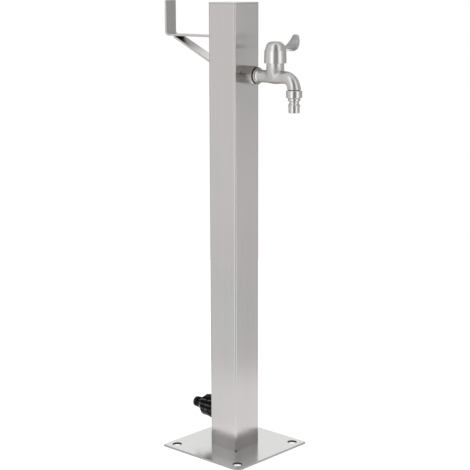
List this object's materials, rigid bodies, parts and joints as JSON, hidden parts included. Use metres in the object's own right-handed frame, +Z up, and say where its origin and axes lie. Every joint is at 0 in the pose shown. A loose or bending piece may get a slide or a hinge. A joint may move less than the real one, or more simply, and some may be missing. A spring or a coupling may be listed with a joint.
{
  "type": "garden standpipe",
  "caption": "Square brushed steel column on a bolt-down plate, with a quarter turn garden tap and hose nozzle, a hose hook on the back and a black quick-connect hose inlet near the foot.",
  "frame": {"origin": "centre of the base plate's underside, on the ground", "axes": "+Z up along the column, -Y towards the tap, +Y towards the hook and the hose inlet, +X towards the closed lever"},
  "size_m": [0.152, 0.2523, 0.6615],
  "materials": {
    "plate_steel": "brushed",
    "column_steel": "brushed lengthwise",
    "hook_steel": "brushed",
    "adaptor_steel": "satin",
    "tap_steel": "satin polished",
    "handle_steel": "satin polished",
    "small_steel": "plain",
    "nut_chrome": "bright",
    "brass": "machined",
    "ceramic": "lapped ceramic",
    "seal_rubber": "matt",
    "hose_braid": "braided wire",
    "inlet_plastic": "satin moulded"
  },
  "bodies": {
    "column": {"base_plate": "plate_steel", "post_tube": "column_steel", "top_cap": "column_steel", "hook_arm": "hook_steel", "hook_brace": "hook_steel", "tap_adaptor": "adaptor_steel", "adaptor_washer": "seal_rubber", "adaptor_locknut": "brass", "tap_gasket": "seal_rubber", "tap_body": "tap_steel", "seat_seal": "seal_rubber", "fixed_disc": "ceramic", "cartridge_housing": "brass", "nozzle_washer": "seal_rubber", "hose_nozzle": "tap_steel", "upper_elbow": "brass", "upper_hose_washer": "seal_rubber", "upper_hose_tail": "brass", "upper_hose_nut": "nut_chrome", "upper_sleeve": "small_steel", "supply_hose": "hose_braid", "lower_sleeve": "small_steel", "lower_hose_nut": "nut_chrome", "lower_hose_tail": "brass", "lower_hose_washer": "seal_rubber", "lower_elbow": "brass", "inlet_fitting": "brass", "inlet_gasket": "seal_rubber", "inlet_ring_nut": "inlet_plastic", "connector_washer": "seal_rubber", "inlet_connector": "inlet_plastic", "nipple_o_ring": "seal_rubber"},
    "lever": {"lever_handle": "handle_steel", "handle_screw": "small_steel", "handle_plug": "handle_steel", "valve_stem": "brass", "stem_o_ring": "seal_rubber", "stem_clip": "small_steel", "turning_disc": "ceramic"}
  },
  "joints": [
    {"name": "lever_turn", "type": "hinge", "parent": "column", "child": "lever", "pos_m": [0, -0.0781, 0.59], "axis": [0, 0, -1], "range_deg": [0, 90]}
  ]
}
